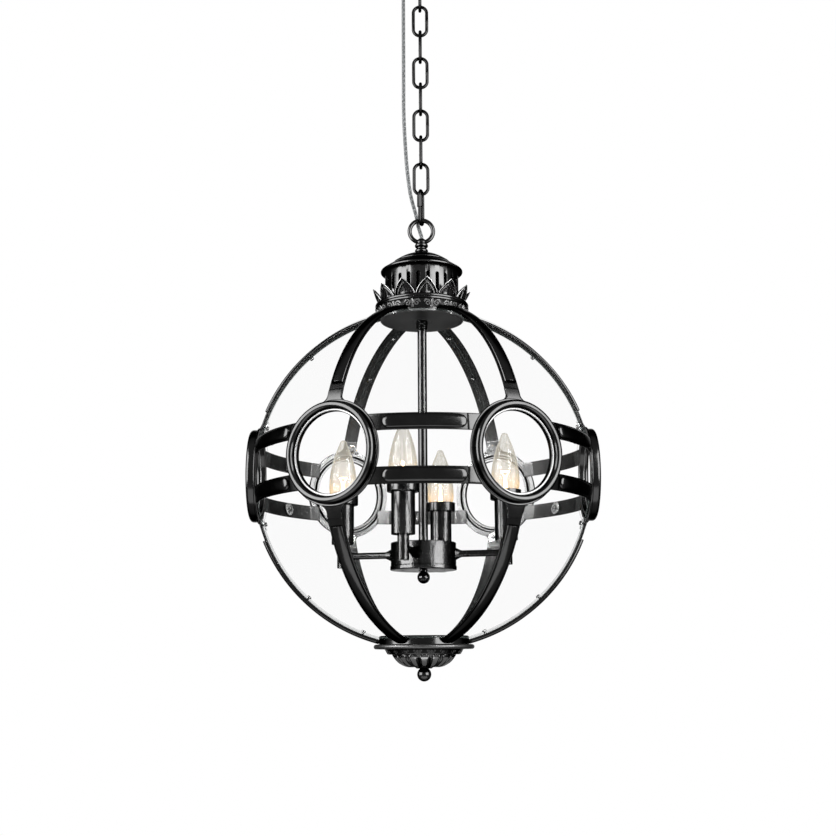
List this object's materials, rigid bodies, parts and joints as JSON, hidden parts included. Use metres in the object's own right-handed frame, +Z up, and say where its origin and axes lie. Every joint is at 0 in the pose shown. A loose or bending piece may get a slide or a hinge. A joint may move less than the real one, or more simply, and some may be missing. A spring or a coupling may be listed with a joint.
{
  "type": "globe lantern chandelier",
  "caption": "Ceiling chandelier: a glazed globe lantern frame of ribs, bands and round ports, with candle lamps inside, hung on a chain below a canopy.",
  "frame": {"origin": "centre of the canopy's rim on the ceiling; everything hangs below it", "axes": "+Z up, -Y towards the front, between two port rings"},
  "size_m": [0.5, 0.4952, 1.1444],
  "materials": {
    "black_nickel": "gloss black nickel, very smooth",
    "chain_metal": "gloss gunmetal plating",
    "dark_metal": "satin dark plating",
    "zinc_steel": "zinc plated steel",
    "panel_glass": "clear polished",
    "clear_washer": "clear moulded plastic",
    "bulb_glass": "clear lamp glass",
    "holder_plastic": "moulded thermoset",
    "clear_pvc": "clear sheath over tinned wire"
  },
  "bodies": {
    "ceiling_mount": {"ceiling_bracket": "zinc_steel", "canopy": "black_nickel", "ceiling_nipple": "zinc_steel", "canopy_loop": "black_nickel", "cord_grip": "dark_metal", "supply_cord": "clear_pvc"},
    "chain_link_1": {"chain_link_1": "chain_metal"},
    "chain_link_2": {"chain_link_2": "chain_metal"},
    "chain_link_3": {"chain_link_3": "chain_metal"},
    "chain_link_4": {"chain_link_4": "chain_metal"},
    "chain_link_5": {"chain_link_5": "chain_metal"},
    "chain_link_6": {"chain_link_6": "chain_metal"},
    "chain_link_7": {"chain_link_7": "chain_metal"},
    "chain_link_8": {"chain_link_8": "chain_metal"},
    "quick_link": {"quick_link": "chain_metal"},
    "quick_link_nut": {"quick_link_nut": "chain_metal"},
    "lantern": {"top_loop": "black_nickel", "cap_dome": "black_nickel", "vent_drum": "black_nickel", "leaf_crown": "black_nickel", "top_collar": "black_nickel", "ornament_ring": "black_nickel", "top_disc": "dark_metal", "centre_nipple": "zinc_steel", "stem": "black_nickel", "stem_nut": "black_nickel", "hub_body": "black_nickel", "hub_lid": "black_nickel", "hub_finial": "black_nickel", "lamp_arm_1": "black_nickel", "lamp_arm_2": "black_nickel", "lamp_arm_3": "black_nickel", "lamp_arm_4": "black_nickel", "candle_sleeve_1": "black_nickel", "candle_sleeve_2": "black_nickel", "candle_sleeve_3": "black_nickel", "candle_sleeve_4": "black_nickel", "lamp_holders": "holder_plastic", "port_ring_1": "black_nickel", "port_ring_2": "black_nickel", "port_ring_3": "black_nickel", "port_ring_4": "black_nickel", "port_ring_5": "black_nickel", "port_ring_6": "black_nickel", "upper_ribs": "black_nickel", "lower_ribs": "black_nickel", "upper_bands": "black_nickel", "lower_bands": "black_nickel", "upper_glass": "panel_glass", "lower_glass": "panel_glass", "lower_plate": "black_nickel", "lower_flange": "black_nickel", "lower_boss": "black_nickel", "lower_finial": "black_nickel", "glass_washers": "clear_washer", "frame_screws": "dark_metal"},
    "bulb_1": {"bulb_1": "bulb_glass"},
    "bulb_2": {"bulb_2": "bulb_glass"},
    "bulb_3": {"bulb_3": "bulb_glass"},
    "bulb_4": {"bulb_4": "bulb_glass"}
  },
  "joints": [
    {"name": "link_1_swing", "type": "hinge", "parent": "ceiling_mount", "child": "chain_link_1", "pos_m": [0, 0, -0.0697], "axis": [1, 0, 0], "range_deg": [-15, 15], "deforming": ["supply_cord"]},
    {"name": "link_2_swing", "type": "hinge", "parent": "chain_link_1", "child": "chain_link_2", "pos_m": [0, 0, -0.11265], "axis": [0, 1, 0], "range_deg": [-15, 15]},
    {"name": "link_3_swing", "type": "hinge", "parent": "chain_link_2", "child": "chain_link_3", "pos_m": [0, 0, -0.15635], "axis": [1, 0, 0], "range_deg": [-15, 15]},
    {"name": "link_4_swing", "type": "hinge", "parent": "chain_link_3", "child": "chain_link_4", "pos_m": [0, 0, -0.20005], "axis": [0, 1, 0], "range_deg": [-15, 15]},
    {"name": "link_5_swing", "type": "hinge", "parent": "chain_link_4", "child": "chain_link_5", "pos_m": [0, 0, -0.24375], "axis": [1, 0, 0], "range_deg": [-15, 15]},
    {"name": "link_6_swing", "type": "hinge", "parent": "chain_link_5", "child": "chain_link_6", "pos_m": [0, 0, -0.28745], "axis": [0, 1, 0], "range_deg": [-15, 15]},
    {"name": "link_7_swing", "type": "hinge", "parent": "chain_link_6", "child": "chain_link_7", "pos_m": [0, 0, -0.33115], "axis": [1, 0, 0], "range_deg": [-15, 15]},
    {"name": "link_8_swing", "type": "hinge", "parent": "chain_link_7", "child": "chain_link_8", "pos_m": [0, 0, -0.37485], "axis": [0, 1, 0], "range_deg": [-15, 15]},
    {"name": "quick_link_swing", "type": "hinge", "parent": "chain_link_8", "child": "quick_link", "pos_m": [0, 0, -0.41855], "axis": [1, 0, 0], "range_deg": [-15, 15]},
    {"name": "quick_link_nut_screw", "type": "slide", "parent": "quick_link", "child": "quick_link_nut", "axis": [0, 0, -1], "range_m": [0, 0.013]},
    {"name": "lantern_swing", "type": "hinge", "parent": "quick_link", "child": "lantern", "pos_m": [0, 0, -0.46625], "axis": [0.2588, 0.9659, 0], "range_deg": [-15, 15]},
    {"name": "bulb_1_unscrew", "type": "slide", "parent": "lantern", "child": "bulb_1", "axis": [0, 0, 1], "range_m": [0, 0.028]},
    {"name": "bulb_2_unscrew", "type": "slide", "parent": "lantern", "child": "bulb_2", "axis": [0, 0, 1], "range_m": [0, 0.028]},
    {"name": "bulb_3_unscrew", "type": "slide", "parent": "lantern", "child": "bulb_3", "axis": [0, 0, 1], "range_m": [0, 0.028]},
    {"name": "bulb_4_unscrew", "type": "slide", "parent": "lantern", "child": "bulb_4", "axis": [0, 0, 1], "range_m": [0, 0.028]}
  ]
}
